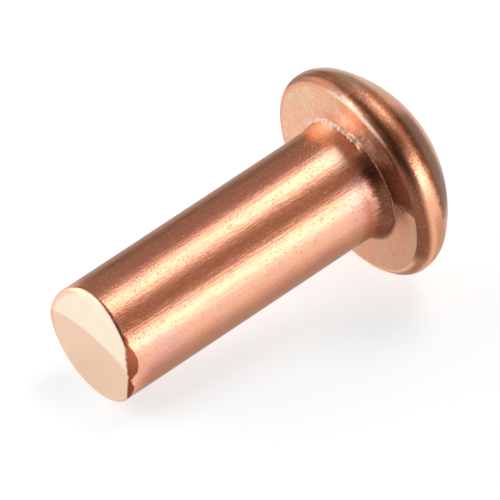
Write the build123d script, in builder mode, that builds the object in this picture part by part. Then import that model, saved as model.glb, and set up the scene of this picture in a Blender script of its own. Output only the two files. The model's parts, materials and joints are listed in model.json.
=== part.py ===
# Round head solid rivet, 6 mm x 16 mm, cold-headed from drawn copper wire.
# One piece. It lies on the floor on the edge of its head and the edge of its shank end,
# with +X towards the head, +Z up, and the origin on the floor under the middle of the part.
# Lengths are in millimetres and angles in degrees.

import os
from math import asin, atan2, cos, degrees, hypot, radians, sin, tan

from build123d import *

# Shank
shank_diameter = 6.0
shank_length = 16.1  # from the cropped end to the bearing face
root_flare_width = 0.3  # the metal swells where the shank enters the head
root_flare_length = 1.0

# Head
head_diameter = 11.1
head_height = 4.0
bearing_face_diameter = 10.35
bearing_edge_radius = 0.45
widest_ring_height = 0.67  # above the bearing face
crown_radius = 6.9

# Cropped end. Directions are read on the end of the stem: 0 is level with the axis on the
# far side, 90 is the top.
shear_arc_radius = 6.87  # the crease between the square zone and the sloping zone
shear_arc_centre = (0.57, -5.79)
shear_slope = 15.5
corner_facet_direction = 165.0
corner_facet_inset = 0.28
corner_facet_slope = 62.0
end_edge_radius = 0.12

cutter_margin = 1.0  # how far a cutting shape stands clear of the metal

shank_radius = shank_diameter / 2
head_radius = head_diameter / 2
bearing_face_radius = bearing_face_diameter / 2

# The shoulder is one arc, tangent to the crown and upright at the widest ring.
crown_centre_height = head_height - crown_radius
crown_centre_drop = widest_ring_height - crown_centre_height
shoulder_radius = (crown_radius**2 - head_radius**2 - crown_centre_drop**2) / (
    2 * (crown_radius - head_radius)
)
crown_half_angle = degrees(atan2(head_radius - shoulder_radius, crown_centre_drop))

# From the widest ring down to the bearing face the edge is one arc, upright at the ring.
lower_edge_width = head_radius - bearing_face_radius
lower_edge_radius = (lower_edge_width**2 + widest_ring_height**2) / (2 * lower_edge_width)

# The flare is one arc, tangent to the shank, that ends on the bearing face.
root_flare_radius = (root_flare_width**2 + root_flare_length**2) / (2 * root_flare_width)
root_flare_angle = degrees(asin(root_flare_length / root_flare_radius))

# The floor touches the rounded edge of the shank end and the lower edge of the head, so
# the stem is tilted like the common tangent of these two arcs. The rise and the run join
# the arcs' centres, across the stem and along it.
contact_rise = (head_radius - lower_edge_radius) - (shank_radius - end_edge_radius)
contact_run = (shank_length + widest_ring_height) - end_edge_radius
stem_tilt = atan2(contact_rise, contact_run) + asin(
    (lower_edge_radius - end_edge_radius) / hypot(contact_rise, contact_run)
)

# The crown reaches furthest forwards, and the crease of the cropped end furthest back.
crease_height = shear_arc_centre[1] + shear_arc_radius
front_reach = (shank_length + crown_centre_height) * cos(stem_tilt) + crown_radius
back_reach = crease_height * sin(stem_tilt)

end_centre_x = (back_reach - front_reach) / 2
end_centre_z = (
    (shank_radius - end_edge_radius) * cos(stem_tilt)
    - end_edge_radius * sin(stem_tilt)
    + end_edge_radius
)

# The stem's frame: the middle of the shank end, its axis towards the head
stem = Plane(
    origin=(end_centre_x, 0, end_centre_z),
    x_dir=(0, 1, 0),
    z_dir=(cos(stem_tilt), 0, sin(stem_tilt)),
)

# The head's frame: the middle of the bearing face
head = stem.offset(shank_length)


def section_along(frame):
    # the plane that holds the frame's axis: x is the radius, y is the way along the axis
    return Plane(origin=frame.origin, x_dir=frame.x_dir, z_dir=-frame.y_dir)


def axis_of(frame):
    return Axis(frame.origin, frame.z_dir)


with BuildPart() as rivet:
    # Drawn shank, swelling into the head
    with BuildSketch(section_along(stem)):
        with BuildLine():
            side = Line((shank_radius, 0), (shank_radius, shank_length - root_flare_length))
            flare = JernArc(side @ 1, side % 1, root_flare_radius, -root_flare_angle)
            Polyline(flare @ 1, (0, shank_length), (0, 0), side @ 0)
        make_face()
    revolve(axis=axis_of(stem))

    # Round head
    with BuildSketch(section_along(head)) as head_half:
        with BuildLine():
            crown = JernArc((0, head_height), (1, 0), crown_radius, -crown_half_angle)
            shoulder = TangentArc(crown @ 1, (head_radius, widest_ring_height), tangent=crown % 1)
            lower_edge = TangentArc(shoulder @ 1, (bearing_face_radius, 0), tangent=(0, -1))
            Polyline(lower_edge @ 1, (0, 0), (0, head_height))
        make_face()
        bearing_edge = head_half.vertices().group_by(Axis.Y)[0].sort_by(Axis.X)[-1]
        fillet(bearing_edge, bearing_edge_radius)
    revolve(axis=axis_of(head))

    # Cropped end: the tool bit in square, then the metal tore away along a slope
    crop = Plane(stem.location * Location((*shear_arc_centre, 0)))
    with BuildSketch(section_along(crop)):
        with BuildLine():
            outside = shear_arc_radius + shank_diameter
            rise = shank_diameter * tan(radians(shear_slope))
            Polyline(
                (shear_arc_radius, 0),
                (outside, rise),
                (outside, -cutter_margin),
                (shear_arc_radius, -cutter_margin),
                close=True,
            )
        make_face()
    revolve(axis=axis_of(crop), mode=Mode.SUBTRACT)

    # Corner facet on the near side, a steep flat that meets the shank in a crescent
    corner_facet = Plane(
        stem.location
        * Location((0, 0, 0), (0, 0, corner_facet_direction))
        * Location((shank_radius - corner_facet_inset, 0, 0), (0, 180 - corner_facet_slope, 0))
    )
    split(bisect_by=corner_facet, keep=Keep.BOTTOM)

    # All round the cropped end the rim is slightly rolled
    shank_side = rivet.faces().filter_by(GeomType.CYLINDER).sort_by(SortBy.AREA)[-1]
    end_rim = shank_side.edges().filter_by_position(axis_of(stem), -cutter_margin, cutter_margin)
    fillet(end_rim, end_edge_radius)

rivet.part.label = "rivet"
os.makedirs("parts", exist_ok=True)
export_step(rivet.part, "parts/rivet.step")
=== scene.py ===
import json
import math

import bpy
from mathutils import Matrix, Vector


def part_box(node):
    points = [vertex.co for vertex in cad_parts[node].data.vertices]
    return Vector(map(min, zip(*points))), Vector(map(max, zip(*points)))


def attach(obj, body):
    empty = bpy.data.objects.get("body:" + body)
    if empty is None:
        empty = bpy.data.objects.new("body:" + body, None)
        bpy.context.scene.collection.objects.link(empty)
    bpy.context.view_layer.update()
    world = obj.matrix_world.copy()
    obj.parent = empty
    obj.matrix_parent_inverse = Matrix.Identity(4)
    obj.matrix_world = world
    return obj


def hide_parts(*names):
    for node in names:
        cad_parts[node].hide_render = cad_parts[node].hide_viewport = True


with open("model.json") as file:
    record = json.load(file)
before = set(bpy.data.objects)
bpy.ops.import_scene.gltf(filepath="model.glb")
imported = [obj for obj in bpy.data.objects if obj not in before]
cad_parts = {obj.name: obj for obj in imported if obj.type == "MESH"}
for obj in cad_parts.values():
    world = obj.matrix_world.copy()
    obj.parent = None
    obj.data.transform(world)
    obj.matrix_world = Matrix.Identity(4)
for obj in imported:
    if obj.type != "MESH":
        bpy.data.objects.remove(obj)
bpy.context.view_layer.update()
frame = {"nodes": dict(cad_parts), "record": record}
print("frame loaded")

mm = 0.001
micron = 0.000001


def readStem():
    # the stem's own frame: x to the far side, y upwards, z from the cropped end to the head
    mounts = {mount["name"]: mount for mount in frame["record"]["mounts"]}
    shankMount, faceMount = mounts["shank"], mounts["bearing_face"]
    axis = -Vector(shankMount["axis"]).normalized()
    onAxis = Vector(shankMount["pos_m"])
    points = [v.co - onAxis for v in frame["nodes"]["rivet"].data.vertices]
    stations = [p.dot(axis) for p in points]
    faceStation = (Vector(faceMount["pos_m"]) - onAxis).dot(axis)
    side = Vector((0, 1, 0))
    turn = Matrix((side, axis.cross(side), axis)).transposed().to_4x4()
    return {
        "place": Matrix.Translation(onAxis + axis * min(stations)) @ turn,
        "shankRadius": shankMount["dims"]["r_mm"] * mm,
        "shankLength": faceStation - min(stations),
        "headHeight": max(stations) - faceStation,
        "headRadius": max((p - axis * s).length for p, s in zip(points, stations)),
    }


stem = readStem()


def plug(tree, value, socket):
    if isinstance(value, bpy.types.NodeSocket):
        tree.links.new(value, socket)
    else:
        socket.default_value = value


def newNode(tree, kind, inputs=None, **settings):
    node = tree.nodes.new(kind)
    for name, value in settings.items():
        setattr(node, name, value)
    for name, value in (inputs or {}).items():
        plug(tree, value, node.inputs[name])
    return node


def calc(tree, operation, *values):
    node = newNode(tree, "ShaderNodeMath", operation=operation)
    for number, value in enumerate(values):
        plug(tree, value, node.inputs[number])
    return node.outputs[0]


def times(tree, *values):
    product = values[0]
    for value in values[1:]:
        product = calc(tree, "MULTIPLY", product, value)
    return product


def vectorCalc(tree, operation, *values):
    node = newNode(tree, "ShaderNodeVectorMath", operation=operation)
    for number, value in enumerate(values):
        plug(tree, value, node.inputs[number])
    return node.outputs["Value" if operation in {"LENGTH", "DOT_PRODUCT"} else "Vector"]


def scaleVector(tree, vector, factor):
    ends = {"Vector": vector, "Scale": factor}
    return newNode(tree, "ShaderNodeVectorMath", ends, operation="SCALE").outputs["Vector"]


def ramp(tree, value, start, stop, low=0.0, high=1.0, smooth=True):
    kind = "SMOOTHSTEP" if smooth else "LINEAR"
    ends = {"Value": value, "From Min": start, "From Max": stop, "To Min": low, "To Max": high}
    return newNode(tree, "ShaderNodeMapRange", ends, interpolation_type=kind).outputs["Result"]


def splitVector(tree, vector):
    node = newNode(tree, "ShaderNodeSeparateXYZ", {"Vector": vector})
    return node.outputs["X"], node.outputs["Y"], node.outputs["Z"]


def joinVector(tree, x, y, z):
    return newNode(tree, "ShaderNodeCombineXYZ", {"X": x, "Y": y, "Z": z}).outputs["Vector"]


def fromAxis(tree, x, y):
    return vectorCalc(tree, "LENGTH", joinVector(tree, x, y, 0.0))


def outwardUnit(tree, x, y):
    return vectorCalc(tree, "NORMALIZE", joinVector(tree, x, y, 0.0))


def noise(tree, vector, scale, detail=2.0, roughness=0.5, seed=0.0):
    # the texture lies mostly between 0.2 and 0.8, which is spread to about -1 to 1
    ends = {"Vector": vector, "W": seed, "Scale": scale, "Detail": detail, "Roughness": roughness}
    node = newNode(tree, "ShaderNodeTexNoise", ends, noise_dimensions="4D")
    return ramp(tree, node.outputs["Fac"], 0.2, 0.8, -1.0, 1.0, smooth=False)


# the rivet's profile, which is turned round the axis; lengths in millimetres
rivetShape = {
    "endRimRadius": 0.12,
    "croppedReach": 0.5,  # the closely divided start of the shank
    "flareReach": 1.25,  # the stretch below the bearing face that may swell
    "tornReach": 0.3,  # the closely divided part of it
    "flareWidth": 0.3,
    "lipWidth": 0.4,
    "bearingFaceRadius": 5.175,
    "bearingEdgeRadius": 0.45,
    "widestRingHeight": 0.67,
    "crownRadius": 6.9,
    # how many steps each stretch of the profile has
    "rows": {"end": 54, "rim": 8, "shank": 42, "flare": 40, "lip": 20, "face": 22,
             "edge": 20, "shoulder": 24, "crown": 44},
}
zoneCodes = {name: float(code) for code, name in enumerate(rivetShape["rows"])}

# how the turned shape is worked, the inputs of the Geometry Nodes tree
workedMetal = {
    "Columns": 360,
    "Seed": 4,
    "End Reach": 2.6 * mm,  # how far up the shank the columns follow the torn end
    "Crease X": 0.57 * mm,
    "Crease Y": -5.79 * mm,
    "Crease Radius": 6.87 * mm,
    "Tear Rise": 0.277,  # the tangent of the slope
    "Steep Start": 1.55 * mm,
    "Steep Rise": 0.45,
    "Facet Direction": math.radians(165),  # towards the near side, a little above level
    "Facet Inset": 0.28 * mm,
    "Facet Rise": 1.88,
    "High Facet Direction": math.radians(144),  # a steep sliver above it
    "High Facet Inset": 0.08 * mm,
    "High Facet Rise": 6.0,
    "Low Facet Direction": math.radians(195),  # a shallower facet below it
    "Low Facet Inset": 0.27 * mm,
    "Low Facet Rise": 0.35,
    "Chip Direction": math.radians(184),  # a steep chip outside them
    "Chip Inset": 0.075 * mm,
    "Chip Rise": 5.0,
    "End Grain": 2.5 * micron,
    "Flare Length": 1.1 * mm,
    "Flare Curve": 2.15,
    "Tear Width": 0.16 * mm,
    "Tear Length": 0.16 * mm,
    "Torn Roughness": 100 * micron,
    "Burr Width": 0.12 * mm,
    "Lip Height": 0.06 * mm,
    "Lip Offset": 0.07 * mm,
    "Lip Thickness": 0.07 * mm,
    "Head Offset Face": 0.052 * mm,
    "Head Offset Ring": 0.091 * mm,
    "Head Offset Crown": 0.053 * mm,
    "Head Lean": 0.0191,  # the tangent of the lean
    "Wire Lines": 1.2 * micron,
    "Wire Dents": 1.1 * micron,
    "Head Dents": 1.2 * micron,
}

# directions are degrees on the stem's end: 0 is the far side and 90 is up; spread is the half
# angle within which a mark is full, and the one past which it is gone
headSeat = {
    "leanDirection": 222,
    "crownReach": 3,  # how far up the offset grows, in heights of the widest ring
    "faceYield": 0.9 * mm,  # the width of bearing face that gives way to the lean
}

# noise that shapes the metal: how the place it reads is stretched, then its fineness, its
# detail and its roughness
patterns = {
    "wobble": ((1.0, 1.0, 0.0), 900.0, 3.0, 0.55),
    "endGrain": ((1.0, 0.22, 0.0), 9000.0, 2.0, 0.5),
    "ragged": ((1.0, 1.0, 1.0), 9.0, 3.0, 0.6),  # this and the next are read round the axis
    "jagged": ((1.0, 1.0, 1.0), 45.0, 3.0, 0.7),
    "grit": ((1.0, 1.0, 1.0), 5500.0, 3.0, 0.65),
    "blotches": ((1.0, 1.0, 0.15), 5500.0, 3.0, 0.65),
    "drawnLines": ((1.0, 1.0, 0.06), 6000.0, 2.0, 0.6),
    "dents": ((1.0, 1.0, 1.0), 1400.0, 3.0, 0.5),
}

croppedEnd = {
    "creaseWobble": 0.03 * mm,
    "facetWobble": 0.02 * mm,
    # how softly its surfaces meet; from the middle to the near side the crease gets softer
    "creaseReach": (-0.8 * mm, -2.7 * mm),
    "creaseBlend": (0.015 * mm, 0.14 * mm),
    "steepBlend": 0.05 * mm,
    "facetBlend": 0.04 * mm,
    "sharpBlend": 0.015 * mm,
    # where the tone of each surface starts and is full, past its edge
    "facetEdge": (0.0, 0.03 * mm),
    "chipEdge": (-0.01 * mm, 0.02 * mm),
    "creaseEdge": (-0.02 * mm, 0.04 * mm),
    "flatShare": 0.3,  # how far up the rolled rim the bare end goes
    # how bare each surface is; the pale bare tone also serves as a painted reflection
    "squareBare": 0.6, "tornBare": 1.0, "chipBare": 0.1,
    # painted shade: the facets take a dark red tone, darker towards the underside
    "scorch": 0.85,
    "shadeReach": (1.6 * mm, -0.8 * mm),
    "shadeShare": (0.25, 0.8),
    # on the far side the rim keeps the tone of the drawn wire
    "drawnRim": {"direction": 24, "spread": (24, 52)},
    "drawnRadii": (2.6 * mm, 2.85 * mm),
    "drawnShare": 0.55,
}

tornRoot = {
    "torn": {"direction": 71, "spread": (42, 54)},
    "burr": {"direction": 102, "spread": (3, 8)},
    "lip": {"direction": 146, "spread": (38, 50)},
    "brightLip": {"direction": 122, "spread": (24, 38)},
    "sway": 0.03,  # how far noise moves the ends of these
    "lengthRange": (0.5, 1.5),  # the torn band's length, as shares of its usual one
    "lipRange": (0.3, 1.4),  # and the lip's height
    "startShare": 0.15,  # how soon the torn band is fully rough
    # painted shadow: a dark line along the start of the torn band, as shares of its length
    "outlineStart": (0.75, 0.95),
    "outlineStop": (1.0, 1.5),
    "outlineShade": 0.45,
    # noise at which the painted shade of the crevices starts and is darkest, and at which the
    # lip's crest is brightest
    "creviceNoise": (0.05, -0.5),
    "creviceShade": 0.8,
    "brightNoise": (-0.6, 0.6),
    "brightShare": 0.5,
}

# heights are in millimetres above the bearing face, and radii from the axis: where a mark
# starts, is full, starts to fade and is gone; blotch is how far noise moves its ends
blotchSway = 0.04  # and how far noise moves its sides
wholeFace = (-0.3, -0.2, 0.3, 0.4)
# painted shade: each mark darkens the copper where it should mirror the dark room or lie in
# shadow, such as at the root, under the shank, on the lower face, in the lip's crease and round
# the head's edge and crown
paintedShadeMarks = {
    "root": {"zones": ("shank", "flare"), "direction": 166, "spread": (22, 46),
             "heights": (-0.85, -0.42, 0.3, 0.4), "strength": 0.9, "blotch": 0.35},
    "low root": {"zones": ("shank", "flare"), "direction": 206, "spread": (20, 40),
                 "heights": (-1.1, -0.6, 0.3, 0.4), "strength": 0.8, "blotch": 0.35},
    "face": {"zones": ("lip", "face"), "direction": 156, "spread": (13, 21),
             "heights": wholeFace, "strength": 0.88, "blotch": 0.12},
    "crease": {"zones": ("lip", "lip"), "direction": 190, "spread": (62, 78),
               "heights": wholeFace, "radii": (3.0, 3.2, 3.35, 3.6),
               "strength": 0.8, "blotch": 0.08},
    "low face": {"zones": ("lip", "face"), "direction": 225, "spread": (40, 60),
                 "heights": wholeFace, "strength": 0.24, "blotch": 0.12},
    "edge": {"zones": ("edge", "shoulder"), "direction": 168, "spread": (32, 50),
             "heights": (-0.3, -0.2, 0.3, 0.62), "strength": 0.85, "blotch": 0.02},
    "upper edge": {"zones": ("edge", "edge"), "direction": 64, "spread": (22, 36),
                   "heights": (0.0, 0.1, 0.35, 0.6), "strength": 0.75, "blotch": 0.02},
    "upper shoulder": {"zones": ("edge", "shoulder"), "direction": 58, "spread": (8, 22),
                       "heights": (0.35, 0.5, 0.7, 0.95), "strength": 0.5, "blotch": 0.05},
    "low edge": {"zones": ("edge", "edge"), "direction": 218, "spread": (14, 30),
                 "heights": (0.03, 0.1, 0.3, 0.42), "strength": 0.6, "blotch": 0.02},
    "shoulder": {"zones": ("edge", "shoulder"), "direction": 117, "spread": (12, 26),
                 "heights": (0.2, 0.35, 0.7, 1.1), "strength": 0.75, "blotch": 0.1},
    "crown": {"zones": ("shoulder", "crown"), "direction": 148, "spread": (24, 41),
              "heights": (1.0, 1.5, 2.3, 2.9), "strength": 0.87, "blotch": 0.2},
    "low crown": {"zones": ("shoulder", "crown"), "direction": 195, "spread": (12, 26),
                  "heights": (0.6, 0.95, 1.3, 1.6), "strength": 0.35, "blotch": 0.12},
    "near crown": {"zones": ("crown", "crown"), "direction": 177, "spread": (11, 24),
                   "heights": (1.8, 2.2, 2.8, 3.3), "strength": 0.45, "blotch": 0.2},
    "dark line": {"zones": ("shank", "flare"), "direction": 130, "spread": (6, 15),
                  "heights": (-16.0, -15.0, -1.4, -0.9), "strength": 0.13, "blotch": 0.12},
    "underside": {"zones": ("shank", "flare"), "direction": 224, "spread": (28, 50),
                  "heights": (-16.0, -15.0, 0.3, 0.4), "strength": 0.45, "blotch": 0.12},
    "far side": {"zones": ("shank", "flare"), "direction": 51, "spread": (12, 28),
                 "heights": (-16.0, -15.0, -1.4, -0.9), "strength": 0.58, "blotch": 0.12},
}
# the whole face has the pressed face's own paler tone; every other mark is a painted highlight or
# painted reflection, pale tone laid where the copper should mirror a lamp or the lit floor
bareAndSheenMarks = {
    "face": {"zones": ("lip", "face"), "direction": 0, "spread": (180, 180),
             "heights": wholeFace, "strength": 0.38, "blotch": 0.12},
    "upper face": {"zones": ("lip", "face"), "direction": 111, "spread": (14, 28),
                   "heights": wholeFace, "radii": (3.0, 3.2, 4.1, 4.8),
                   "strength": 0.85, "blotch": 0.12},
    "upper band": {"zones": ("shank", "flare"), "direction": 111, "spread": (9, 20),
                   "heights": (-2.2, -1.3, -1.0, -0.75), "strength": 0.35, "blotch": 0.3},
    "lower band": {"zones": ("shank", "flare"), "direction": 145, "spread": (7, 16),
                   "heights": (-2.2, -1.3, -1.0, -0.75), "strength": 0.28, "blotch": 0.3},
    "far root": {"zones": ("flare", "flare"), "direction": 60, "spread": (16, 40),
                 "heights": (-1.0, -0.6, 0.3, 0.4), "strength": 0.3, "blotch": 0.25},
    "edge highlight": {"zones": ("edge", "edge"), "direction": 106, "spread": (8, 30),
                  "heights": (-0.3, -0.2, 0.04, 0.15), "strength": 0.95, "blotch": 0.0},
    "low edge highlight": {"zones": ("edge", "edge"), "direction": 232, "spread": (26, 44),
                      "heights": (-0.3, -0.2, 0.02, 0.05), "strength": 0.3, "blotch": 0.01},
    "crown top": {"zones": ("shoulder", "crown"), "direction": 66, "spread": (20, 36),
                  "heights": (0.7, 0.9, 1.5, 3.4), "strength": 0.55, "blotch": 0.1},
    "lower side": {"zones": ("shank", "flare"), "direction": 166, "spread": (5, 14),
                   "heights": (-15.9, -15.4, -1.6, -0.9), "strength": 0.14, "blotch": 0.3},
}
blushMarks = {
    "cropped corner": {"zones": ("shank", "shank"), "direction": 176, "spread": (8, 20),
                       "heights": (-15.7, -15.2, -13.6, -11.8), "strength": 0.85, "blotch": 0.6},
    "upper side": {"zones": ("shank", "flare"), "direction": 90, "spread": (3, 9),
                   "heights": (-15.9, -15.0, -2.0, -1.0), "strength": 0.5, "blotch": 0.6},
    "by the root": {"zones": ("shank", "flare"), "direction": 158, "spread": (10, 24),
                    "heights": (-3.0, -1.6, -0.7, -0.4), "strength": 0.8, "blotch": 0.5},
}


def arcPoints(centre, height, radius, start, stop):
    # an arc of the profile; angles in degrees from straight outwards towards the head
    def points(count):
        turns = [math.radians(start + (stop - start) * n / count) for n in range(count + 1)]
        return [(centre + radius * math.cos(t), height + radius * math.sin(t)) for t in turns]
    return points


def linePoints(start, stop):
    def points(count):
        shares = [n / count for n in range(count + 1)]
        return [tuple(a + (b - a) * s for a, b in zip(start, stop)) for s in shares]
    return points


def joinStretches(first, second, part):
    # the first one takes one part of the steps
    return lambda count: first(count // part) + second(count - count // part)[1:]


def makeProfile(shape):
    # radius and height of each point, from the middle of the end to the top of the crown
    radius, length = stem["shankRadius"], stem["shankLength"]
    headRadius, headHeight = stem["headRadius"], stem["headHeight"]
    rim = shape["endRimRadius"] * mm
    flareStart = length - shape["flareReach"] * mm
    flareRadius = radius + shape["flareWidth"] * mm
    lipRadius = flareRadius + shape["lipWidth"] * mm
    ring = shape["widestRingHeight"] * mm
    bevel = shape["bearingEdgeRadius"] * mm
    crown = shape["crownRadius"] * mm

    edgeWidth = headRadius - shape["bearingFaceRadius"] * mm
    edgeRadius = (edgeWidth**2 + ring**2) / (2 * edgeWidth)
    edgeCentre = headRadius - edgeRadius
    bevelTurn = math.degrees(math.asin((ring - bevel) / (edgeRadius - bevel)))
    bevelCentre = edgeCentre + (edgeRadius - bevel) * math.cos(math.radians(bevelTurn))

    crownCentre = headHeight - crown
    drop = ring - crownCentre
    shoulder = (crown**2 - headRadius**2 - drop**2) / (2 * (crown - headRadius))
    shoulderTurn = 90 - math.degrees(math.atan2(headRadius - shoulder, drop))

    plainStart = rim + shape["croppedReach"] * mm
    nearEnd = linePoints((radius, rim), (radius, plainStart))
    farEnd = linePoints((radius, plainStart), (radius, flareStart))
    tornStart = length - shape["tornReach"] * mm
    flareFar = linePoints((radius, flareStart), (radius, tornStart))
    flareNear = linePoints((radius, tornStart), (radius, length))
    bevelArc = arcPoints(bevelCentre, length + bevel, bevel, -90, -bevelTurn)
    lowerArc = arcPoints(edgeCentre, length + ring, edgeRadius, -bevelTurn, 0)
    stretches = {
        "end": linePoints((0, 0), (radius - rim, 0)),
        "rim": arcPoints(radius - rim, rim, rim, -90, 0),
        "shank": joinStretches(nearEnd, farEnd, 3),
        "flare": joinStretches(flareFar, flareNear, 2),
        "lip": linePoints((flareRadius, length), (lipRadius, length)),
        "face": linePoints((lipRadius, length), (bevelCentre, length)),
        "edge": joinStretches(bevelArc, lowerArc, 3),
        "shoulder": arcPoints(headRadius - shoulder, length + ring, shoulder, 0, shoulderTurn),
        "crown": arcPoints(0, length + crownCentre, crown, shoulderTurn, 90),
    }
    points, zones = [], []
    for name, stretch in stretches.items():
        made = stretch(shape["rows"][name])
        # a stretch leaves out its first point where the one before it ends there
        skip = 1 if points and math.dist(made[0], points[-1]) < micron else 0
        points += made[skip:]
        zones += [zoneCodes[name]] * (len(made) - skip)
    points[-1] = (0.0, points[-1][1])

    mesh = bpy.data.meshes.new("rivet_profile")
    mesh.from_pydata([(r, 0, z) for r, z in points], [], [])
    zoneLayer = mesh.attributes.new("zone", "FLOAT", "POINT")
    zoneLayer.data.foreach_set("value", zones)
    return mesh


def isZone(tree, zone, name):
    return calc(tree, "COMPARE", zone, zoneCodes[name], 0.5)


def fromZone(tree, zone, name):
    return calc(tree, "GREATER_THAN", zone, zoneCodes[name] - 0.5)


def inZones(tree, zone, first, last):
    return times(
        tree, fromZone(tree, zone, first), calc(tree, "LESS_THAN", zone, zoneCodes[last] + 0.5))


def setPosition(tree, geometry, position):
    ends = {"Geometry": geometry, "Position": position}
    return newNode(tree, "GeometryNodeSetPosition", ends).outputs["Geometry"]


def shiftPoints(tree, geometry, shift):
    here = newNode(tree, "GeometryNodeInputPosition").outputs["Position"]
    return setPosition(tree, geometry, vectorCalc(tree, "ADD", here, shift))


def namedAttribute(tree, name, kind="FLOAT"):
    node = newNode(tree, "GeometryNodeInputNamedAttribute", {"Name": name}, data_type=kind)
    return node.outputs["Attribute"]


def readPlace(tree):
    # where a point lay in the stem's frame before the metal was worked
    return namedAttribute(tree, "stemPlace", "FLOAT_VECTOR")


def storeAttribute(tree, geometry, name, value, kind="FLOAT"):
    ends = {"Geometry": geometry, "Name": name, "Value": value}
    node = newNode(
        tree, "GeometryNodeStoreNamedAttribute", ends, data_type=kind, domain="POINT")
    return node.outputs["Geometry"]


mergeDistance = 0.2 * micron  # closes the seam and the two poles


def turnProfile(tree, ins):
    # a grid: its rows take the profile's points, and its columns go round the axis
    size = newNode(tree, "GeometryNodeAttributeDomainSize", {"Geometry": ins["Geometry"]})
    rowCount = size.outputs["Point Count"]
    columnCount = calc(tree, "ADD", ins["Columns"], 1)
    ends = {"Vertices X": columnCount, "Vertices Y": rowCount}
    grid = newNode(tree, "GeometryNodeMeshGrid", ends).outputs["Mesh"]
    index = newNode(tree, "GeometryNodeInputIndex").outputs["Index"]
    column = calc(tree, "DIVIDE", calc(tree, "ADD", index, 0.5), rowCount)
    column = calc(tree, "FLOOR", column)
    row = calc(tree, "SUBTRACT", index, times(tree, column, rowCount))
    position = newNode(tree, "GeometryNodeInputPosition").outputs["Position"]
    samples = {}
    for kind, value in (("FLOAT_VECTOR", position), ("FLOAT", namedAttribute(tree, "zone"))):
        ends = {"Geometry": ins["Geometry"], "Value": value, "Index": row}
        node = newNode(tree, "GeometryNodeSampleIndex", ends, data_type=kind, domain="POINT")
        samples[kind] = node.outputs["Value"]
    radius, _, height = splitVector(tree, samples["FLOAT_VECTOR"])
    turn = times(tree, calc(tree, "DIVIDE", column, ins["Columns"]), math.tau)
    turned = joinVector(
        tree,
        times(tree, radius, calc(tree, "COSINE", turn)),
        times(tree, radius, calc(tree, "SINE", turn)),
        height,
    )
    geometry = storeAttribute(tree, grid, "zone", samples["FLOAT"])
    geometry = storeAttribute(tree, geometry, "stemPlace", turned, "FLOAT_VECTOR")
    geometry = setPosition(tree, geometry, turned)
    ends = {"Geometry": geometry, "Distance": mergeDistance}
    return newNode(tree, "GeometryNodeMergeByDistance", ends).outputs["Geometry"]


def pattern(tree, ins, name, place):
    stretch, fineness, detail, roughness = patterns[name]
    place = vectorCalc(tree, "MULTIPLY", place, stretch)
    return noise(tree, place, fineness, detail, roughness, ins["Seed"])


def sector(tree, place, mark, sway=0.0):
    # 1 round a direction from the axis, 0 away from it
    if mark["spread"][0] >= 180:
        return 1.0
    x, y, _ = splitVector(tree, place)
    direction = math.radians(mark["direction"])
    aim = (math.cos(direction), math.sin(direction), 0.0)
    facing = vectorCalc(tree, "DOT_PRODUCT", outwardUnit(tree, x, y), aim)
    full, gone = (math.cos(math.radians(angle)) for angle in mark["spread"])
    return ramp(tree, calc(tree, "ADD", facing, sway), gone, full)


def band(tree, value, limits):
    # 0, rising to 1 between the first two limits and falling to 0 between the last two
    start, full, fade, gone = (limit * mm for limit in limits)
    return times(tree, ramp(tree, value, start, full), ramp(tree, value, fade, gone, 1.0, 0.0))


def facetHeight(tree, ins, name, x, y, wobble):
    # a slope that rises outwards in the facet's direction
    direction = ins[name + " Direction"]
    cosine, sine = calc(tree, "COSINE", direction), calc(tree, "SINE", direction)
    away = calc(tree, "ADD", times(tree, x, cosine), times(tree, y, sine))
    away = calc(tree, "SUBTRACT", away, stem["shankRadius"])
    away = calc(tree, "ADD", away, ins[name + " Inset"])
    away = calc(tree, "MULTIPLY_ADD", wobble, croppedEnd["facetWobble"], away)
    return times(tree, away, ins[name + " Rise"])


def tornHeight(tree, ins, x, away):
    # level within the crease, a slope past it, and steeper further out
    slope = times(tree, away, ins["Tear Rise"])
    steep = times(tree, calc(tree, "SUBTRACT", away, ins["Steep Start"]), ins["Steep Rise"])
    steep = calc(tree, "ADD", steep, times(tree, ins["Steep Start"], ins["Tear Rise"]))
    blend = ramp(tree, x, *croppedEnd["creaseReach"], *croppedEnd["creaseBlend"])
    torn = calc(tree, "SMOOTH_MAX", slope, 0.0, blend)
    return calc(tree, "SMOOTH_MAX", torn, steep, croppedEnd["steepBlend"])


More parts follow.
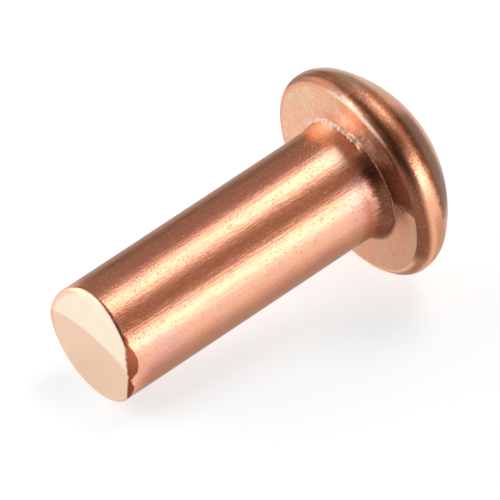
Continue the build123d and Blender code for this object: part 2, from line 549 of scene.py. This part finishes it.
def toneEnd(tree, geometry, place, away, torn, facet, chip):
    # how bare each surface of the cropped end is, and the painted shade on its facets
    x, y, z = splitVector(tree, place)
    onEnd = inZones(tree, namedAttribute(tree, "zone"), "end", "rim")
    facetGap, chipGap = calc(tree, "SUBTRACT", facet, torn), calc(tree, "SUBTRACT", chip, facet)
    onFacet = times(tree, ramp(tree, facetGap, *croppedEnd["facetEdge"]), onEnd)
    onChip = times(tree, ramp(tree, chipGap, *croppedEnd["chipEdge"]), onFacet)

    bareRange = croppedEnd["squareBare"], croppedEnd["tornBare"]
    bare = ramp(tree, away, *croppedEnd["creaseEdge"], *bareRange)
    flatReach = croppedEnd["flatShare"] * rivetShape["endRimRadius"] * mm
    flat = ramp(tree, z, 0.0, flatReach, 1.0, 0.0)
    bare = times(tree, bare, times(tree, flat, calc(tree, "SUBTRACT", onEnd, onFacet)))
    drawn = ramp(
        tree, fromAxis(tree, x, y), *croppedEnd["drawnRadii"], 0.0, croppedEnd["drawnShare"])
    drawn = times(tree, drawn, sector(tree, place, croppedEnd["drawnRim"]))
    bare = times(tree, bare, calc(tree, "SUBTRACT", 1.0, drawn))
    bare = calc(tree, "MAXIMUM", bare, times(tree, onChip, croppedEnd["chipBare"]))

    # painted shade on the facets: a dark red tone, darker towards the underside
    shadedFacet = calc(tree, "SUBTRACT", onFacet, onChip)
    stain = ramp(tree, y, *croppedEnd["shadeReach"], *croppedEnd["shadeShare"])
    geometry = storeAttribute(tree, geometry, "bare", bare)
    geometry = storeAttribute(
        tree, geometry, "scorch", times(tree, shadedFacet, croppedEnd["scorch"]))
    return storeAttribute(tree, geometry, "stain", times(tree, shadedFacet, stain))


def shearEnd(tree, ins, geometry):
    # the square cut, the torn slope above its crease, and the facets on the near side
    stemPlace = readPlace(tree)
    x, y, z = splitVector(tree, stemPlace)
    wobble = pattern(tree, ins, "wobble", stemPlace)
    gapX = calc(tree, "SUBTRACT", x, ins["Crease X"])
    gapY = calc(tree, "SUBTRACT", y, ins["Crease Y"])
    away = calc(tree, "SUBTRACT", fromAxis(tree, gapX, gapY), ins["Crease Radius"])
    away = calc(tree, "MULTIPLY_ADD", wobble, croppedEnd["creaseWobble"], away)
    torn = tornHeight(tree, ins, x, away)
    facet, high, low, chip = (
        facetHeight(tree, ins, name, x, y, wobble)
        for name in ("Facet", "High Facet", "Low Facet", "Chip"))
    facet = calc(tree, "SMOOTH_MAX", facet, high, croppedEnd["facetBlend"])
    facet = calc(tree, "SMOOTH_MAX", facet, low, croppedEnd["facetBlend"])
    rise = calc(tree, "SMOOTH_MAX", torn, facet, croppedEnd["sharpBlend"])
    rise = calc(tree, "SMOOTH_MAX", rise, chip, croppedEnd["sharpBlend"])
    geometry = toneEnd(tree, geometry, stemPlace, away, torn, facet, chip)

    grain = pattern(tree, ins, "endGrain", stemPlace)
    rise = calc(tree, "MULTIPLY_ADD", grain, ins["End Grain"], rise)
    rim = rivetShape["endRimRadius"] * mm
    share = ramp(tree, z, rim, ins["End Reach"], 1.0, 0.0, smooth=False)
    return shiftPoints(tree, geometry, joinVector(tree, 0.0, 0.0, times(tree, rise, share)))


def raggedEdges(tree, ins, unit):
    # slow and quick changes round the axis
    return [pattern(tree, ins, name, unit) for name in ("ragged", "jagged")]


def tearRoot(tree, ins, geometry):
    # the shank swells into the head, and above, the last of the swelling is torn short
    place = readPlace(tree)
    x, y, z = splitVector(tree, place)
    unit = outwardUnit(tree, x, y)
    ragged, jagged = raggedEdges(tree, ins, unit)
    sway = times(tree, ragged, tornRoot["sway"])
    torn = sector(tree, place, tornRoot["torn"], sway)
    onFlare = isZone(tree, namedAttribute(tree, "zone"), "flare")

    below = calc(tree, "SUBTRACT", stem["shankLength"], z)
    share = ramp(tree, below, ins["Flare Length"], 0.0, smooth=False)
    fullWidth = rivetShape["flareWidth"] * mm
    smoothWidth = calc(tree, "SUBTRACT", fullWidth, times(tree, torn, ins["Tear Width"]))
    swell = times(tree, calc(tree, "POWER", share, ins["Flare Curve"]), smoothWidth)
    uneven = calc(tree, "ADD", ragged, jagged)
    tearLength = times(tree, ins["Tear Length"], ramp(
        tree, uneven, -1.0, 1.0, *tornRoot["lengthRange"], smooth=False))
    belowTear = calc(tree, "DIVIDE", below, tearLength)
    tearShare = ramp(tree, belowTear, 1.0, 0.0, smooth=False)
    tornHere = times(tree, torn, ramp(tree, tearShare, 0.0, tornRoot["startShare"]))
    grit = pattern(tree, ins, "grit", place)
    burr = sector(tree, place, tornRoot["burr"], sway)
    for amount, width in (
            (times(tree, tearShare, torn), ins["Tear Width"]),
            (times(tree, grit, tornHere), ins["Torn Roughness"]),
            (times(tree, tearShare, burr), ins["Burr Width"])):
        swell = calc(tree, "ADD", swell, times(tree, amount, width))
    swell = times(tree, swell, onFlare)

    # the torn metal is gritty, with a painted shadow along its start and painted shade in its
    # crevices
    tornHere = times(tree, tornHere, onFlare)
    outline = times(
        tree, ramp(tree, belowTear, *tornRoot["outlineStart"]),
        ramp(tree, belowTear, *tornRoot["outlineStop"], 1.0, 0.0), torn, onFlare,
        tornRoot["outlineShade"])
    crevices = ramp(tree, grit, *tornRoot["creviceNoise"], 0.0, tornRoot["creviceShade"])
    stain = calc(tree, "MAXIMUM", outline, times(tree, tornHere, crevices))
    stain = calc(tree, "MAXIMUM", stain, namedAttribute(tree, "stain"))
    geometry = storeAttribute(tree, geometry, "grit", tornHere)
    geometry = storeAttribute(tree, geometry, "stain", stain)
    return shiftPoints(tree, geometry, scaleVector(tree, unit, swell))


def raiseLip(tree, ins, geometry):
    # below, a thin ragged lip stands off the bearing face, and part of its crest is bare torn
    # metal, made paler in one direction as a painted highlight
    place = readPlace(tree)
    x, y, _ = splitVector(tree, place)
    ragged, jagged = raggedEdges(tree, ins, outwardUnit(tree, x, y))
    sway = times(tree, ragged, tornRoot["sway"])
    root = stem["shankRadius"] + rivetShape["flareWidth"] * mm
    fromRoot = calc(tree, "SUBTRACT", fromAxis(tree, x, y), root)
    fromCrest = calc(tree, "ABSOLUTE", calc(tree, "SUBTRACT", fromRoot, ins["Lip Offset"]))
    crest = times(
        tree, ramp(tree, fromCrest, ins["Lip Thickness"], 0.0),
        isZone(tree, namedAttribute(tree, "zone"), "lip"))
    uneven = calc(tree, "ADD", ragged, jagged)
    lipHeight = times(tree, ins["Lip Height"], ramp(
        tree, uneven, -1.0, 1.0, *tornRoot["lipRange"], smooth=False))
    onLip = times(tree, crest, sector(tree, place, tornRoot["lip"], sway))
    sink = times(tree, onLip, lipHeight, -1.0)

    bright = ramp(tree, jagged, *tornRoot["brightNoise"], 0.0, tornRoot["brightShare"])
    bright = times(tree, crest, sector(tree, place, tornRoot["brightLip"], sway), bright)
    bare = calc(tree, "MAXIMUM", bright, namedAttribute(tree, "bare"))
    geometry = storeAttribute(tree, geometry, "bare", bare)
    return shiftPoints(tree, geometry, joinVector(tree, 0.0, 0.0, sink))


def markMetal(tree, ins, geometry):
    # where the metal is bare or has painted highlights, where painted shade darkens it, and where
    # it has a pink blush
    place = readPlace(tree)
    zone = namedAttribute(tree, "zone")
    x, y, z = splitVector(tree, place)
    height = calc(tree, "SUBTRACT", z, stem["shankLength"])
    radius = fromAxis(tree, x, y)
    blotches = pattern(tree, ins, "blotches", place)
    sway = times(tree, blotches, blotchSway)
    clean = calc(tree, "SUBTRACT", 1.0, namedAttribute(tree, "bare"))
    sets = (("blush", blushMarks, 1.0), ("stain", paintedShadeMarks, clean), ("bare", bareAndSheenMarks, 1.0))
    for name, marks, share in sets:
        total = 0.0 if name == "blush" else namedAttribute(tree, name)
        for mark in marks.values():
            blotched = calc(tree, "MULTIPLY_ADD", blotches, mark["blotch"] * mm, height)
            here = times(
                tree, inZones(tree, zone, *mark["zones"]),
                band(tree, blotched, mark["heights"]))
            if "radii" in mark:
                here = times(tree, here, band(tree, radius, mark["radii"]))
            here = times(tree, here, sector(tree, place, mark, sway), share, mark["strength"])
            total = calc(tree, "MAXIMUM", total, here)
        geometry = storeAttribute(tree, geometry, name, total)
    return geometry


def seatHead(tree, ins, geometry):
    # the heading die sat slightly off the wire: the head is shifted and leans to one side
    zone = namedAttribute(tree, "zone")
    x, y, z = splitVector(tree, readPlace(tree))
    height = calc(tree, "SUBTRACT", z, stem["shankLength"])
    ring = rivetShape["widestRingHeight"] * mm
    offset = ins["Head Offset Face"]
    for start, stop, more in (
            (0.0, ring, ins["Head Offset Ring"]),
            (ring, ring * headSeat["crownReach"], ins["Head Offset Crown"])):
        offset = calc(tree, "ADD", offset, times(tree, ramp(tree, height, start, stop), more))
    lean = math.radians(headSeat["leanDirection"])
    toX, toY = math.cos(lean), math.sin(lean)
    along = calc(tree, "ADD", times(tree, x, toX), times(tree, y, toY))
    shift = joinVector(
        tree, times(tree, offset, toX), times(tree, offset, toY),
        times(tree, along, ins["Head Lean"], -1.0))
    # the bearing face gives way between the lip and the head's edge
    lipEdge = stem["shankRadius"] + (rivetShape["flareWidth"] + rivetShape["lipWidth"]) * mm
    share = ramp(tree, fromAxis(tree, x, y), lipEdge, lipEdge + headSeat["faceYield"])
    share = calc(tree, "MAXIMUM", share, fromZone(tree, zone, "edge"))
    share = times(tree, share, fromZone(tree, zone, "face"))
    return shiftPoints(tree, geometry, scaleVector(tree, shift, share))


def drawWire(tree, ins, geometry):
    # lines left by the drawing die along the shank, and small dents everywhere
    place = readPlace(tree)
    zone = namedAttribute(tree, "zone")
    lines = pattern(tree, ins, "drawnLines", place)
    dents = pattern(tree, ins, "dents", place)
    onShank = inZones(tree, zone, "rim", "flare")
    depth = times(tree, lines, ins["Wire Lines"], onShank)
    depth = calc(tree, "ADD", depth, times(tree, dents, ins["Wire Dents"], onShank))
    depth = calc(tree, "ADD", depth, times(
        tree, dents, ins["Head Dents"], fromZone(tree, zone, "edge")))
    normal = newNode(tree, "GeometryNodeInputNormal").outputs["Normal"]
    return shiftPoints(tree, geometry, scaleVector(tree, normal, depth))


def dressZones(tree, geometry, materials):
    # each stretch of the surface takes the finish that its tool left
    zone = namedAttribute(tree, "zone")
    for kind in ("GeometryNodeSetShadeSmooth", "GeometryNodeRealizeInstances"):
        geometry = newNode(tree, kind, {"Geometry": geometry}).outputs[0]
    for name, material in materials.items():
        ends = {
            "Geometry": geometry, "Selection": fromZone(tree, zone, name), "Material": material}
        geometry = newNode(tree, "GeometryNodeSetMaterial", ends).outputs["Geometry"]
    return geometry


def makeRivetTree(materials):
    tree = bpy.data.node_groups.new("turn and work the rivet", "GeometryNodeTree")
    tree.interface.new_socket(name="Geometry", in_out="INPUT", socket_type="NodeSocketGeometry")
    for name, value in workedMetal.items():
        kind = "NodeSocketInt" if isinstance(value, int) else "NodeSocketFloat"
        tree.interface.new_socket(name=name, in_out="INPUT", socket_type=kind)
    tree.interface.new_socket(name="Geometry", in_out="OUTPUT", socket_type="NodeSocketGeometry")
    ins = {socket.name: socket for socket in newNode(tree, "NodeGroupInput").outputs}
    geometry = turnProfile(tree, ins)
    for work in (shearEnd, tearRoot, raiseLip, markMetal, seatHead, drawWire):
        geometry = work(tree, ins, geometry)
    geometry = dressZones(tree, geometry, materials)
    newNode(tree, "NodeGroupOutput", {"Geometry": geometry})
    return tree


def setInputs(modifier, values):
    for item in modifier.node_group.interface.items_tree:
        if item.item_type == "SOCKET" and item.in_out == "INPUT" and item.name in values:
            modifier[item.identifier] = values[item.name]


def makeRivet(materials):
    maker = bpy.data.objects.new("rivet_maker", makeProfile(rivetShape))
    bpy.context.scene.collection.objects.link(maker)
    modifier = maker.modifiers.new("worked metal", "NODES")
    modifier.node_group = makeRivetTree(materials)
    setInputs(modifier, workedMetal)
    depsgraph = bpy.context.evaluated_depsgraph_get()
    mesh = bpy.data.meshes.new_from_object(
        maker.evaluated_get(depsgraph), preserve_all_data_layers=True, depsgraph=depsgraph)
    bpy.data.objects.remove(maker)
    mesh.name = "copper_rivet"
    mesh.transform(stem["place"])
    settleOnFloor(mesh)
    piece = bpy.data.objects.new("copper_rivet", mesh)
    bpy.context.scene.collection.objects.link(piece)
    return piece


settlingRounds = 3


def settleOnFloor(mesh):
    # the head sits a little low, so the stem tips until both its contacts touch the floor
    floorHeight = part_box("rivet")[0].z
    for _ in range(settlingRounds):
        points = [v.co for v in mesh.vertices]
        head = min((p for p in points if p.x > 0), key=lambda p: p.z)
        end = min((p for p in points if p.x < 0), key=lambda p: p.z)
        tip = math.atan2(head.z - end.z, head.x - end.x)
        pivot = Matrix.Translation(end)
        mesh.transform(pivot @ Matrix.Rotation(tip, 4, "Y") @ pivot.inverted())
        lowest = min(v.co.z for v in mesh.vertices)
        mesh.transform(Matrix.Translation((0, 0, floorHeight - lowest)))


copperTones = {
    "copper": (0.94, 0.45, 0.255),
    "rosy": (0.92, 0.38, 0.28),
    "pale": (0.95, 0.60, 0.43),
    "brown": (0.42, 0.16, 0.09),
    # bare metal, paler than the copper, also used for painted highlights and reflections
    "bare": (1.0, 0.87, 0.7),
    # the dark tone of the painted shade
    "stain": (0.12, 0.023, 0.008),
    "blush": (0.84, 0.36, 0.4),
    "gritty": (0.82, 0.56, 0.42),
    # the dark red of the painted shade on the end's facets
    "shadedFacet": (0.6, 0.14, 0.045),
}

# each noise of the two shader groups has its fineness as a share of the group's, its detail,
# its roughness and its seed
toolLines = {
    "coarse": (1.0, 3.0, 0.6, 1.3),
    "fine": (3.1, 2.0, 0.6, 5.1),
    "coarseShare": 0.6,
    "limits": (-0.4, 0.4),
}
metalGrain = {
    "grain": (1.0, 3.0, 0.65, 2.2),
    "specks": (0.8, 1.0, 0.5, 8.4),
    "sparks": (0.7, 1.0, 0.5, 6.1),
    "clouds": (0.06, 2.0, 0.5, 4.7),
    "speckEdge": 0.12,
    "sparkLimits": (0.62, 0.85),
}


def groupTree(name, inputs, outputs):
    tree = bpy.data.node_groups.new(name, "ShaderNodeTree")
    for label, kind in inputs.items():
        tree.interface.new_socket(name=label, in_out="INPUT", socket_type=kind)
    for label, kind in outputs.items():
        tree.interface.new_socket(name=label, in_out="OUTPUT", socket_type=kind)
    ins = {socket.name: socket for socket in newNode(tree, "NodeGroupInput").outputs}
    return tree, ins


def groupNoise(tree, ins, place, settings):
    share, detail, roughness, seed = settings
    return noise(tree, place, times(tree, ins["Fineness"], share), detail, roughness, seed)


def makeLinesGroup():
    # lines that follow one direction of the place vector, 0 to 1, and their height
    number = "NodeSocketFloat"
    tree, ins = groupTree(
        "tool lines",
        {"Place": "NodeSocketVector", "Stretch": "NodeSocketVector", "Fineness": number},
        {"Lines": number, "Height": number})
    place = vectorCalc(tree, "MULTIPLY", ins["Place"], ins["Stretch"])
    coarse = groupNoise(tree, ins, place, toolLines["coarse"])
    fine = groupNoise(tree, ins, place, toolLines["fine"])
    share = toolLines["coarseShare"]
    mixed = calc(tree, "ADD", times(tree, coarse, share), times(tree, fine, 1 - share))
    lines = ramp(tree, mixed, *toolLines["limits"], smooth=False)
    newNode(tree, "NodeGroupOutput", {"Lines": lines, "Height": mixed})
    return tree


def makeGrainGroup():
    # crystal grain, dark specks, sparse raised sparks and wide clouds
    number = "NodeSocketFloat"
    tree, ins = groupTree(
        "metal grain",
        {"Place": "NodeSocketVector", "Fineness": number, "Speck Share": number},
        {"Grain": number, "Specks": number, "Sparks": number, "Clouds": number})
    grain, specks, sparks, clouds = (
        groupNoise(tree, ins, ins["Place"], metalGrain[name])
        for name in ("grain", "specks", "sparks", "clouds"))
    limit = calc(tree, "SUBTRACT", 1.0, ins["Speck Share"])
    specks = ramp(tree, specks, limit, calc(tree, "ADD", limit, metalGrain["speckEdge"]))
    sparks = ramp(tree, sparks, *metalGrain["sparkLimits"])
    newNode(tree, "NodeGroupOutput", {
        "Grain": grain, "Specks": specks, "Sparks": sparks, "Clouds": clouds})
    return tree


def useGroup(tree, group, inputs):
    node = tree.nodes.new("ShaderNodeGroup")
    node.node_tree = group
    for name, value in inputs.items():
        plug(tree, value, node.inputs[name])
    return node.outputs


def mixColours(tree, share, first, second):
    # a Mix node has three sockets of each name, so the ones for colours are told by number
    node = newNode(tree, "ShaderNodeMix", data_type="RGBA")
    plug(tree, share, node.inputs[0])
    for value, socket in ((first, node.inputs[6]), (second, node.inputs[7])):
        plug(tree, value if isinstance(value, bpy.types.NodeSocket) else (*value, 1.0), socket)
    return node.outputs[2]


# spread is how much the lines change the roughness; stretch and fineness are the lines' own;
# depths and heights are in metres
finishes = {
    "copper_cropped": {
        "roughness": 0.42, "spread": 0.08, "tone": "pale", "toneShare": 0.35,
        "stretch": (1.0, 0.2, 1.0), "fineness": 9000.0, "radial": False,
        "lineDepth": 3.5 * micron, "lineTone": "rosy", "lineShare": 0.25,
        "grain": 14000.0, "grainDepth": 2.5 * micron, "specks": 0.3,
        "pitDepth": -1.5 * micron, "sparkHeight": 0.0,
        "bareRange": (0.8, 1.15), "edgeTint": (0.7, 0.64, 0.58),
    },
    "copper_drawn": {
        "roughness": 0.26, "spread": 0.12, "tone": "rosy", "toneShare": 0.3,
        "stretch": (1.0, 1.0, 0.045), "fineness": 8500.0, "radial": False,
        "lineDepth": 4.2 * micron, "lineTone": "rosy", "lineShare": 0.4,
        "grain": 10500.0, "grainDepth": 2.6 * micron, "specks": 0.5,
        "pitDepth": -7 * micron, "sparkHeight": 12 * micron,
        "bareRange": (0.7, 1.15), "edgeTint": (0.7, 0.64, 0.58),
    },
    "copper_pressed": {
        "roughness": 0.38, "spread": 0.1, "tone": "pale", "toneShare": 0.2,
        "stretch": (1.0, 1.0, 1.0), "fineness": 2800.0, "radial": True,
        "lineDepth": 9.0 * micron, "lineTone": "brown", "lineShare": 0.6,
        "grain": 10500.0, "grainDepth": 5.0 * micron, "specks": 0.5,
        "pitDepth": -3.5 * micron, "sparkHeight": 7 * micron,
        "bareRange": (-0.6, 2.4), "edgeTint": (1.0, 0.68, 0.5),
    },
    "copper_headed": {
        "roughness": 0.27, "spread": 0.08, "tone": "rosy", "toneShare": 0.2,
        "stretch": (0.6, 0.6, 1.0), "fineness": 7000.0, "radial": False,
        "lineDepth": 3.0 * micron, "lineTone": "rosy", "lineShare": 0.3,
        "grain": 9500.0, "grainDepth": 4.5 * micron, "specks": 0.4,
        "pitDepth": -3.5 * micron, "sparkHeight": 7 * micron,
        "bareRange": (0.7, 1.15), "edgeTint": (0.7, 0.64, 0.58),
    },
}

# what all finishes share; a row of four is two limits of a noise, then what it does at each
patina = {
    "clouds": (-0.6, 0.8, 0.0, 1.0),
    "brownGrain": (0.1, 0.9, 0.0, 0.3),
    "paleGrain": (-0.9, -0.1, 0.3, 0.0),
    "brownSpecks": 0.35,
    "blush": (-0.3, 0.4, 0.0, 1.0),
    "bareLimits": (-0.5, 1.5),
    "stain": (0.1, 0.7, 1.0, 0.6),
    "grit": (-0.8, 0.8, 0.35, 1.0),
    # how much rougher each mark makes the metal
    "rougher": {"stain": 0.1, "bare": 0.08, "grit": 0.25, "specks": 0.1},
    "gritDepth": 10 * micron,
    "coatWeight": 0.15,
    "coatRoughness": 0.2,
}
radialLines = {"girth": 4 * mm, "stretch": 0.25}


def radialPlace(tree, place):
    # a place that turns round the axis and goes along it as the radius grows, so that lines
    # run outwards
    x, y, _ = splitVector(tree, place)
    along = times(tree, fromAxis(tree, x, y), radialLines["stretch"])
    ring = scaleVector(tree, outwardUnit(tree, x, y), radialLines["girth"])
    x, y, _ = splitVector(tree, ring)
    return joinVector(tree, x, y, along)


def readMarks(tree, grain, lines, finish):
    # the marks of the mesh, broken up by the grain and the lines
    marks = {
        name: newNode(tree, "ShaderNodeAttribute", attribute_name=name).outputs["Fac"]
        for name in ("bare", "stain", "blush", "scorch", "grit")}
    grainAndLines = calc(tree, "ADD", grain["Grain"], lines["Lines"])
    marks["blush"] = times(tree, marks["blush"], ramp(tree, lines["Height"], *patina["blush"]))
    marks["bare"] = times(tree, marks["bare"], ramp(
        tree, grainAndLines, *patina["bareLimits"], *finish["bareRange"], smooth=False))
    marks["stain"] = times(tree, marks["stain"], ramp(tree, grain["Grain"], *patina["stain"]))
    return marks


def colourMetal(tree, grain, lines, marks, finish):
    # tones laid over one another, the last one on top
    clouds = times(tree, ramp(tree, grain["Clouds"], *patina["clouds"]), finish["toneShare"])
    grainAndHeight = calc(tree, "ADD", grain["Grain"], lines["Height"])
    layers = (
        (clouds, finish["tone"]),
        (times(tree, lines["Lines"], finish["lineShare"]), finish["lineTone"]),
        (ramp(tree, grain["Grain"], *patina["brownGrain"]), "brown"),
        (ramp(tree, grain["Grain"], *patina["paleGrain"]), "pale"),
        (times(tree, grain["Specks"], patina["brownSpecks"]), "brown"),
        (marks["blush"], "blush"),
        # bare metal with painted highlights, then painted shade on the facets and over the rest
        (marks["bare"], "bare"),
        (marks["scorch"], "shadedFacet"),
        (marks["stain"], "stain"),
        (times(tree, marks["grit"], ramp(tree, grainAndHeight, *patina["grit"])), "gritty"),
    )
    colour = copperTones["copper"]
    for share, tone in layers:
        colour = mixColours(tree, share, colour, copperTones[tone])
    return colour


def roughenMetal(tree, grain, lines, marks, finish):
    rough = calc(
        tree, "MULTIPLY_ADD", lines["Height"], finish["spread"] / 2, finish["roughness"])
    for name, more in patina["rougher"].items():
        share = grain["Specks"] if name == "specks" else marks[name]
        rough = calc(tree, "MULTIPLY_ADD", share, more, rough)
    return rough


def raiseMetal(tree, grain, lines, marks, finish):
    height = times(tree, lines["Height"], finish["lineDepth"])
    for share, depth in (
            (grain["Grain"], finish["grainDepth"]),
            (grain["Specks"], finish["pitDepth"]),
            (grain["Sparks"], finish["sparkHeight"]),
            (times(tree, grain["Grain"], marks["grit"]), patina["gritDepth"])):
        height = calc(tree, "MULTIPLY_ADD", share, depth, height)
    bump = newNode(tree, "ShaderNodeBump", {"Height": height, "Distance": 1.0, "Strength": 1.0})
    return bump.outputs["Normal"]


def makeCopper(name, finish, linesGroup, grainGroup):
    material = bpy.data.materials.new(name)
    material.use_nodes = True
    tree = material.node_tree
    place = newNode(tree, "ShaderNodeAttribute", attribute_name="stemPlace").outputs["Vector"]
    linePlace = radialPlace(tree, place) if finish["radial"] else place
    lines = useGroup(tree, linesGroup, {
        "Place": linePlace, "Stretch": finish["stretch"], "Fineness": finish["fineness"]})
    grain = useGroup(tree, grainGroup, {
        "Place": place, "Fineness": finish["grain"], "Speck Share": finish["specks"]})
    surface = grain, lines, readMarks(tree, grain, lines, finish), finish
    inputs = {
        "Base Color": colourMetal(tree, *surface),
        "Roughness": roughenMetal(tree, *surface),
        "Normal": raiseMetal(tree, *surface),
        "Metallic": 1.0,
        "Specular Tint": (*finish["edgeTint"], 1.0),
        "Coat Weight": patina["coatWeight"],
        "Coat Roughness": patina["coatRoughness"],
    }
    for socket, value in inputs.items():
        plug(tree, value, tree.nodes["Principled BSDF"].inputs[socket])
    return material


def makeMaterials():
    groups = makeLinesGroup(), makeGrainGroup()
    made = {name: makeCopper(name, finish, *groups) for name, finish in finishes.items()}
    print("materials made,", len(made))
    # the first zone that each finish starts from
    return {
        "end": made["copper_cropped"],
        "rim": made["copper_drawn"],
        "lip": made["copper_pressed"],
        "edge": made["copper_headed"],
    }


stage = {
    "floorReach": 3.0,  # from its middle to each side
    "floorColour": (0.62, 0.62, 0.62),
    "floorRoughness": 0.9,
    "floorSpecular": 0.1,
    "floorGlow": 0.68,
    "floorGlowColour": (0.9, 0.98, 1.0),
    # the room: a cooler back, a warm side, and a dark patch high on the near side; facing is
    # the cosine at which a patch starts and the one at which it is full
    "roomBack": (0.27, 0.22, 0.20),
    "roomWarm": {"azimuth": -60, "elevation": 30, "facing": (-0.3, 0.7),
                 "colour": (0.42, 0.28, 0.21)},
    "roomDark": {"azimuth": -130, "elevation": 30, "facing": (0.5, 0.87),
                 "colour": (0.10, 0.075, 0.06)},
    "topLight": {"azimuth": 8, "elevation": 66, "distance": 0.75, "size": (0.36, 0.31),
                 "radiance": 3.8, "colour": (0.95, 1.0, 1.05)},
    "frontLight": {"azimuth": -60, "elevation": 11, "distance": 0.8, "size": (0.66, 0.42),
                   "radiance": 2.5, "colour": (0.95, 1.0, 1.05)},
    "backLight": {"azimuth": 122, "elevation": 19, "distance": 0.8, "size": (1.04, 0.62),
                  "radiance": 2.2, "colour": (0.95, 1.0, 1.05)},
}


def makeFloor(settings):
    mesh = bpy.data.meshes.new("floor")
    reach = settings["floorReach"]
    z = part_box("rivet")[0].z
    corners = [(-reach, -reach, z), (reach, -reach, z), (reach, reach, z), (-reach, reach, z)]
    mesh.from_pydata(corners, [], [(0, 1, 2, 3)])
    floor = bpy.data.objects.new("floor", mesh)
    bpy.context.scene.collection.objects.link(floor)
    material = bpy.data.materials.new("pale_floor")
    material.use_nodes = True
    tree = material.node_tree
    # the camera and reflections see the floor a little brighter than its lamps make it
    rays = newNode(tree, "ShaderNodeLightPath").outputs
    seen = calc(tree, "MAXIMUM", rays["Is Camera Ray"], calc(
        tree, "MAXIMUM", rays["Is Glossy Ray"], rays["Is Transmission Ray"]))
    inputs = {
        "Base Color": (*settings["floorColour"], 1.0),
        "Roughness": settings["floorRoughness"],
        "Specular IOR Level": settings["floorSpecular"],
        "Emission Color": (*settings["floorGlowColour"], 1.0),
        "Emission Strength": times(tree, seen, settings["floorGlow"]),
    }
    for socket, value in inputs.items():
        plug(tree, value, tree.nodes["Principled BSDF"].inputs[socket])
    mesh.materials.append(material)


def outwards(place):
    # azimuth is from +X towards +Y
    azimuth, elevation = math.radians(place["azimuth"]), math.radians(place["elevation"])
    level = math.cos(elevation)
    return Vector((math.cos(azimuth) * level, math.sin(azimuth) * level, math.sin(elevation)))


def makeSoftbox(name, light):
    away = outwards(light)
    data = bpy.data.lights.new(name, "AREA")
    data.shape = "RECTANGLE"
    data.size, data.size_y = light["size"]
    data.energy = light["radiance"] * math.pi * data.size * data.size_y
    data.color = light["colour"]
    lamp = bpy.data.objects.new(name, data)
    # the long side lies level
    side = Vector((-away.y, away.x, 0)).normalized()
    turn = Matrix((side, away.cross(side), away)).transposed().to_4x4()
    lamp.matrix_world = Matrix.Translation(away * light["distance"]) @ turn
    bpy.context.scene.collection.objects.link(lamp)


def makeWorld(settings):
    world = bpy.data.worlds.new("dim_room")
    world.use_nodes = True
    tree = world.node_tree
    direction = newNode(tree, "ShaderNodeTexCoord").outputs["Generated"]
    colour = settings["roomBack"]
    for patch in (settings["roomWarm"], settings["roomDark"]):
        facing = vectorCalc(tree, "DOT_PRODUCT", direction, outwards(patch))
        colour = mixColours(
            tree, ramp(tree, facing, *patch["facing"]), colour, patch["colour"])
    plug(tree, colour, tree.nodes["Background"].inputs["Color"])
    bpy.context.scene.world = world


# azimuth is from -Y towards +X
cameraPlace = {
    "sensor": 36.0,
    "lens": 686.52,
    "azimuth": -39.547,
    "elevation": 36.918,
    "distance": 453.51 * mm,
    "aim": (-0.528 * mm, -0.507 * mm, 4.532 * mm),
}


def makeCamera(settings):
    data = bpy.data.cameras.new("camera")
    data.sensor_width = settings["sensor"]
    data.lens = settings["lens"]
    camera = bpy.data.objects.new("camera", data)
    azimuth, elevation = math.radians(settings["azimuth"]), math.radians(settings["elevation"])
    back = Vector((
        math.sin(azimuth) * math.cos(elevation),
        -math.cos(azimuth) * math.cos(elevation),
        math.sin(elevation)))
    camera.location = Vector(settings["aim"]) + back * settings["distance"]
    camera.rotation_mode = "QUATERNION"
    camera.rotation_quaternion = (-back).to_track_quat("-Z", "Y")
    bpy.context.scene.collection.objects.link(camera)
    bpy.context.scene.camera = camera


copperRivet = makeRivet(makeMaterials())
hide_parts("rivet")
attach(copperRivet, "root")
print("rivet made,", len(copperRivet.data.polygons), "faces")

makeFloor(stage)
for side in ("top", "front", "back"):
    makeSoftbox(side + "_softbox", stage[side + "Light"])
makeWorld(stage)
makeCamera(cameraPlace)
bpy.context.scene.view_settings.view_transform = "Standard"
print("stage and camera set")
